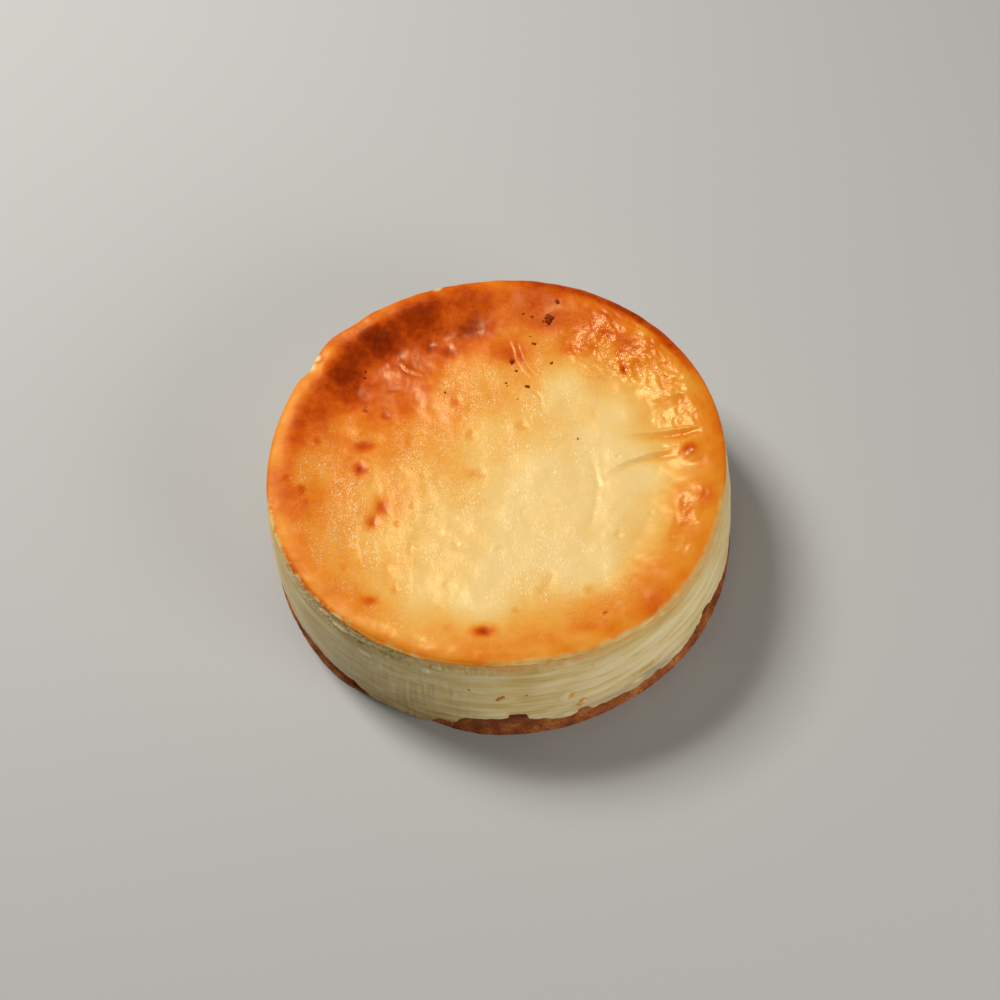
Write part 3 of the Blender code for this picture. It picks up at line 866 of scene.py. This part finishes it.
def make_biscuit_crumbs():
    """Loose crumbs that stand out of the base, most of them at its foot."""
    rng = np.random.default_rng(12)
    angles = np.concatenate([rng.uniform(0, 360, BASE_CRUMBS), rng.normal(226, 4, NEAR_CRUMBS[0]),
                             rng.normal(240, 9, NEAR_CRUMBS[1])])
    above = [rng.uniform(0, 1, BASE_CRUMBS) ** 1.6 * 9, rng.uniform(0, 1, sum(NEAR_CRUMBS)) * 2.2]
    z = np.concatenate(above) * MM + 0.3 * MM
    lengths = rng.uniform(0.5, 1.2, len(angles)) ** 1.4 * MM
    reach = np.minimum(base_radius(angles, z) - 0.15 * MM, SAFE_RADIUS - 0.7 * lengths)
    centres = circle(angles, reach, z + lengths * 0.3)
    shown = centres[:, 2] < lip_height(angles) + 0.5 * MM
    return joined_lumps("biscuit_crumbs", 1, centres[shown], lengths[shown], 90, 0.8)


# ---- the base
BASE_ROWS = 38
COARSE_CRUMB = 2.1 * MM
FINE_CRUMB = 1.0 * MM
UNDER_FILLING = 0.2 * MM


def crumb_relief(points):
    """Pressed crumbs, in metres: rounded grains with gaps between them."""
    coarse = np.array([noise.voronoi(p)[0][0] for p in (points / COARSE_CRUMB).tolist()])
    fine = np.array([noise.voronoi(p)[0][0] for p in (points / FINE_CRUMB + 9.0).tolist()])
    return (0.24 * (0.4 - coarse) + 0.15 * (0.4 - fine)) * MM


def make_base():
    """Pressed biscuit disc with crumbs standing out of its side; its underside lies flat."""
    base = plain_wall("pressed_base", SIDE_COUNT, BASE_ROWS)
    mesh = base.data
    plain = coordinates(mesh)
    angle = angle_of(plain)
    outer, under, inner_under = split_by_place(plain, -1)
    upper_half = plain[:, 2] > -0.5
    inner_under &= ~upper_half
    above = upper_half & ~outer
    top = BASE_THICKNESS - UNDER_FILLING
    points = plain.copy()
    side = angle[outer]
    z = (1 + plain[outer, 2]) * top
    radius = base_radius(side, z)
    at = circle(side, radius, z)
    relief = crumb_relief(at) + 0.2 * MM * grain(at, (6, 6, 5), 31)
    # Grains stand out only above the flare, which is the widest place of the cake.
    above_flare = smooth_step((z - BASE_FLARE_HEIGHT) / (2 * MM))
    points[outer] = circle(side, radius + np.minimum(relief, 0) + np.maximum(relief, 0) * above_flare, z)
    points[under] = circle(angle[under], base_radius(angle[under], 0.0) - 3 * MM, 0.0)
    points[inner_under] = circle(angle[inner_under], FOOT_RADIUS * 0.5, 0.0)
    points[above] = circle(angle[above], FOOT_RADIUS * 0.9, top)
    points[above & (plain[:, 2] < -0.1), 2] -= 1 * MM
    move_vertices(mesh, points)
    paint(mesh, "shaded", smooth_step((points[:, 2] / MM - 4) / 9))
    return base


# ---- materials
def colour(hex_value):
    """Linear colour with alpha from an sRGB hex value."""
    channels = [int(hex_value[i:i + 2], 16) / 255 for i in (1, 3, 5)]
    linear = [c / 12.92 if c <= 0.04045 else ((c + 0.055) / 1.055) ** 2.4 for c in channels]
    return (*linear, 1.0)


def feed(tree, node, inputs):
    """Fills a node's inputs. Each value is a plain one, a "#" colour, the name of an attribute painted on
    the piece, an output of another node, or that node itself for its first output."""
    for socket, value in inputs.items():
        if isinstance(value, str) and value.startswith("#"):
            value = colour(value)
        elif isinstance(value, str):
            value = add_node(tree, "Attribute", attribute_name=value).outputs["Fac"]
        elif isinstance(value, bpy.types.Node):
            value = value.outputs[0]
        if isinstance(value, bpy.types.NodeSocket):
            tree.links.new(value, node.inputs[socket])
        else:
            node.inputs[socket].default_value = value


def add_node(tree, kind, inputs=None, **settings):
    """Adds a shader node with its settings, and fills its inputs."""
    node = tree.nodes.new("ShaderNode" + kind)
    for name, value in settings.items():
        setattr(node, name, value)
    feed(tree, node, inputs or {})
    return node


def set_stops(ramp, stops):
    """Fills a colour ramp from (position, colour) pairs."""
    elements = ramp.color_ramp.elements
    while len(elements) < len(stops):
        elements.new(0.5)
    for element, (position, value) in zip(elements, stops):
        element.position = position
        element.color = colour(value)
    return ramp


def lay_over(tree, base, layers):
    """Lays colours over a base one after another; layers are (share, colour). Gives the last output."""
    for share, over in layers:
        mix = add_node(tree, "Mix", {0: share, 6: base, 7: over}, data_type="RGBA")
        base = mix.outputs[2]
    return base


def cells(size):
    """Scale of a pattern in Object coordinates whose grains are this many millimetres."""
    return 1 / (size * MM)


def new_material(name):
    material = bpy.data.materials.new(name)
    material.use_nodes = True
    tree = material.node_tree
    return material, tree, tree.nodes["Principled BSDF"]


def cream_streaks(tree, place):
    """Colours of set cream cheese, paler and yellower in streaks 2.4 mm high and 17 mm long."""
    stretched = add_node(tree, "Mapping", {
        "Vector": place, "Scale": (cells(16.67), cells(16.67), cells(2.381))})
    streaks = add_node(tree, "TexNoise", {
        "Vector": stretched, "Scale": 1.0, "Detail": 5, "Roughness": 0.55, "Distortion": 0.6})
    return set_stops(add_node(tree, "ValToRGB", {"Fac": streaks}), (
        (0.3, "#D5B76E"), (0.48, "#DFC680"), (0.62, "#E7D292"), (0.78, "#ECDCA4")))


def baked_milk_skin():
    """Baked milk and egg skin over custard. Browned from amber to red-brown, satin with fine grains,
    and wet where butterfat has come out along the rim."""
    material, tree, shader = new_material("baked_milk_skin")
    place = add_node(tree, "TexCoord").outputs["Object"]
    # Milk proteins brown in specks, here 3 mm apart.
    mottle = add_node(tree, "TexNoise", {
        "Vector": place, "Scale": cells(3.03), "Detail": 4, "Roughness": 0.6})
    shift = add_node(tree, "MapRange", {
        "Value": mottle, "From Min": 0.3, "From Max": 0.7, "To Min": -0.03, "To Max": 0.03})
    depth = add_node(tree, "Math", {0: "browning", 1: shift}, operation="ADD")
    browned = set_stops(add_node(tree, "ValToRGB", {"Fac": depth}), (
        (0.0, "#EED08E"), (0.12, "#EDC87D"), (0.25, "#EBBD69"), (0.38, "#E9B054"), (0.5, "#E7A140"),
        (0.6, "#E4922E"), (0.7, "#DF811C"), (0.78, "#D86A10"), (0.86, "#C44E05"), (0.92, "#9C3301"),
        (1.0, "#621701")))
    # Pale dots, partly grains of curd under the skin and partly painted glints and sheen: sandy ones of 0.8
    # mm, and a few of 1.6 mm drawn out to 3.5 mm.
    fine = add_node(tree, "TexNoise", {"Vector": place, "Scale": cells(0.7692)})
    sandy = add_node(tree, "MapRange", {
        "Value": fine, "From Min": 0.47, "From Max": 0.7, "To Max": 0.46})
    drawn_out = add_node(tree, "Mapping", {
        "Vector": place, "Scale": (cells(1.6), cells(3.521), cells(1.6))})
    grains = add_node(tree, "TexVoronoi", {"Vector": drawn_out, "Scale": 1.0})
    present = add_node(tree, "MapRange", {
        "Value": grains.outputs["Color"], "From Min": 0.35, "From Max": 0.7, "To Max": 0.8})
    raised = add_node(tree, "MapRange", {
        "Value": grains, "From Min": 0.05, "From Max": 0.3, "To Min": present, "To Max": 0.0},
        interpolation_type="SMOOTHSTEP")
    either = add_node(tree, "Math", {0: sandy, 1: raised}, operation="MAXIMUM")
    grains_and_glints = add_node(tree, "Math", {0: either, 1: "grains_and_glints"}, operation="MULTIPLY")
    grain_and_glint_share = add_node(tree, "Math", {0: grains_and_glints, 1: 0.8}, operation="MULTIPLY")
    dotted = lay_over(tree, browned, (
        ("bare_and_glinting", cream_streaks(tree, place)), (grain_and_glint_share, "#FFF0CE")))
    # Butterfat leaves the gloss uneven over 6 mm; grains and the wet rim shine, the left rim is dry.
    fatty = add_node(tree, "TexNoise", {"Vector": place, "Scale": cells(5.556), "Detail": 3})
    dullness = add_node(tree, "MapRange", {
        "Value": fatty, "From Min": 0.35, "From Max": 0.65, "To Min": 0.24, "To Max": 0.36})
    shining = add_node(tree, "Math", {0: "wet", 1: grains_and_glints}, operation="MAXIMUM")
    wiped = add_node(tree, "MapRange", {"Value": shining, "To Min": 1.0, "To Max": 0.5})
    moist = add_node(tree, "Math", {0: dullness, 1: wiped}, operation="MULTIPLY")
    gloss = add_node(tree, "Math", {0: "dry", 1: 0.25, 2: moist}, operation="MULTIPLY_ADD")
    # The grains stand up a little, the rest is softly uneven at 2.4 mm, and the wet rim crinkles at 1.8 mm.
    grain_bump = add_node(tree, "Bump", {"Distance": 0.16 * MM, "Height": grains_and_glints})
    soft = add_node(tree, "TexNoise", {"Vector": place, "Scale": cells(2.381), "Detail": 3})
    soft_bump = add_node(tree, "Bump", {
        "Strength": 0.5, "Distance": 0.08 * MM, "Height": soft, "Normal": grain_bump})
    crinkles = add_node(tree, "TexNoise", {
        "Vector": place, "Scale": cells(1.786), "Detail": 3, "Distortion": 1.2})
    wet_height = add_node(tree, "Math", {0: crinkles, 1: "wet"}, operation="MULTIPLY")
    wet_bump = add_node(tree, "Bump", {
        "Distance": 0.3 * MM, "Height": wet_height, "Normal": soft_bump})
    # The sheen of butterfat is warm.
    feed(tree, shader, {
        "Base Color": dotted, "Roughness": gloss, "Normal": wet_bump, "IOR": 1.4,
        "Specular Tint": "#FFE6AE", "Subsurface Weight": 0.15, "Subsurface Radius": (1.0, 0.5, 0.2),
        "Subsurface Scale": 1.6 * MM})
    return material


def set_cream_cheese():
    """Set cream cheese smeared by the knife that freed it. Pale warm cream, moist and soft-edged."""
    material, tree, shader = new_material("set_cream_cheese")
    place = add_node(tree, "TexCoord").outputs["Object"]
    # Painted shade in the creases between the smears and a painted highlight on their ridges, both read from
    # the side's relief.
    hollow = add_node(tree, "MapRange", {
        "Value": "smeared", "From Min": 0.5, "From Max": 0.15, "To Max": 0.75})
    painted_ridge_light = add_node(tree, "MapRange", {
        "Value": "smeared", "From Min": 0.5, "From Max": 0.85, "To Max": 0.7})
    # Apart from the painted shade and highlight of the smears, one layer is painted shade low on the front
    # left; the rest are the cream's own colours.
    cream = lay_over(tree, cream_streaks(tree, place), (
        (hollow, "#C2A25A"), (painted_ridge_light, "#F3E6C0"), ("ashen", "#C2B292"), ("painted_shade", "#A98D4A"),
        ("toasted", "#E6AE60"), ("olive", "#C9A83A"), ("caramel", "#DB9A1E")))
    # Curd shows as a soft unevenness of 1.1 mm.
    curd = add_node(tree, "TexNoise", {
        "Vector": place, "Scale": cells(1.111), "Detail": 5, "Roughness": 0.65})
    bump = add_node(tree, "Bump", {"Strength": 0.5, "Distance": 0.12 * MM, "Height": curd})
    feed(tree, shader, {
        "Base Color": cream, "Normal": bump, "Roughness": 0.42, "IOR": 1.45, "Subsurface Weight": 0.2,
        "Subsurface Radius": (1.0, 0.7, 0.4), "Subsurface Scale": 2.0 * MM})
    return material


def baked_biscuit():
    """Pressed biscuit crumbs baked in butter. Dry and matt, red-brown, with toasted and paler grains."""
    material, tree, shader = new_material("baked_biscuit")
    place = add_node(tree, "TexCoord").outputs["Object"]
    # Grains of 1.1 mm in patches of 7 mm; the base is darker where the filling shades it.
    grains = add_node(tree, "TexNoise", {
        "Vector": place, "Scale": cells(1.111), "Detail": 5, "Roughness": 0.7})
    patches = add_node(tree, "TexNoise", {"Vector": place, "Scale": cells(7.143), "Detail": 4})
    tone = add_node(tree, "Math", {0: grains, 1: 0.6, 2: patches}, operation="MULTIPLY_ADD")
    crumbs = set_stops(add_node(tree, "ValToRGB", {"Fac": tone}), (
        (0.62, "#6C2E0A"), (0.76, "#8C4413"), (0.88, "#A65A20"), (1.0, "#C08040")))
    bump = add_node(tree, "Bump", {"Strength": 0.8, "Distance": 0.2 * MM, "Height": grains})
    feed(tree, shader, {
        "Base Color": lay_over(tree, crumbs, (("shaded", "#702C07"),)), "Normal": bump, "Roughness": 0.8})
    return material


def toasted_scraps(name, dark, light, roughness):
    """Scraps of toasted sugar, from dark to light over a grain of 0.7 mm."""
    material, tree, shader = new_material(name)
    place = add_node(tree, "TexCoord").outputs["Object"]
    grains = add_node(tree, "TexNoise", {"Vector": place, "Scale": cells(0.6667), "Detail": 4})
    ramp = set_stops(add_node(tree, "ValToRGB", {"Fac": grains}), ((0.35, dark), (0.65, light)))
    bump = add_node(tree, "Bump", {"Strength": 0.6, "Distance": 0.1 * MM, "Height": grains})
    feed(tree, shader, {"Base Color": ramp, "Normal": bump, "Roughness": roughness, "IOR": 1.2})
    return material


# ---- stage
def make_floor():
    """Plain pale table, out of the object's own model."""
    bpy.ops.object.select_all(action="DESELECT")
    bpy.ops.mesh.primitive_plane_add(size=6)
    floor = bpy.context.object
    floor.name = "floor"
    material, tree, shader = new_material("pale_table")
    feed(tree, shader, {"Base Color": "#B7BBC0", "Roughness": 0.9})
    floor.data.materials.append(material)


LAMP_COLOUR = "#FFF7EA"
LIT_POINT = Vector((0, 0, 40 * MM))


def make_light(name, turn, rise, distance, size, power):
    """Soft square light that faces the cake; turn is its angle round the cake, rise its elevation."""
    light = bpy.data.lights.new(name, "AREA")
    light.size = size
    light.energy = power
    light.color = colour(LAMP_COLOUR)[:3]
    lamp = bpy.data.objects.new(name, light)
    turn, rise = math.radians(turn), math.radians(rise)
    level = distance * math.cos(rise)
    lamp.location = (level * math.cos(turn), level * math.sin(turn), distance * math.sin(rise))
    lamp.rotation_euler = (LIT_POINT - lamp.location).to_track_quat("-Z", "Y").to_euler()
    bpy.context.collection.objects.link(lamp)


def make_camera():
    """Camera above the front of the cake, 59 degrees up, turned a little about its own axis."""
    elevation = 59.3
    roll = -6.23
    distance = 0.7986
    aim = Vector((-0.0001, 0.0131, 0.0))
    data = bpy.data.cameras.new("camera")
    data.lens = 64.8
    data.sensor_width = 36
    camera = bpy.data.objects.new("camera", data)
    tilt = Matrix.Rotation(math.radians(90 - elevation), 4, "X")
    turn = Matrix.Rotation(math.radians(roll), 4, "Z")
    camera.matrix_world = Matrix.Translation(aim) @ tilt @ turn @ Matrix.Translation((0, 0, distance))
    bpy.context.collection.objects.link(camera)
    bpy.context.scene.camera = camera


def make_studio():
    """Floor, camera, three soft lights and a faint warm surround."""
    make_floor()
    make_camera()
    make_light("back_left_softbox", 133, 52, 1.3, 0.42, 14)
    make_light("high_window", 124, 61, 1.3, 0.15, 2.6)
    make_light("front_right_softbox", -42, 24, 1.2, 0.6, 6.5)
    world = bpy.data.worlds.new("studio")
    bpy.context.scene.world = world
    world.use_nodes = True
    background = world.node_tree.nodes["Background"]
    feed(world.node_tree, background, {"Color": "#FFF4E6", "Strength": 0.09})
    bpy.context.scene.view_settings.view_transform = "Standard"


def finish_piece(piece, material, slot, *nodes):
    """Gives a piece its finish and puts it on the cake."""
    piece.data.materials.clear()
    piece.data.materials.append(material)
    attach(piece, "root")
    if nodes:
        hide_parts(*nodes)


make_studio()
cream = set_cream_cheese()
biscuit = baked_biscuit()
finish_piece(make_body(), cream, "cheese", "cheese_filling")
finish_piece(make_skin(), baked_milk_skin(), "cheese", "cheese_filling")
finish_piece(make_curd_crumbs(), cream, "cheese")
finish_piece(make_burnt_flecks(), toasted_scraps("burnt_sugar", "#5E1C04", "#A8480E", 0.8), "cheese")
finish_piece(make_caramel_specks(), toasted_scraps("caramel", "#C06A0C", "#E0A030", 0.35), "cheese")
finish_piece(make_base(), biscuit, "biscuit", "biscuit_base")
finish_piece(make_biscuit_crumbs(), biscuit, "biscuit")
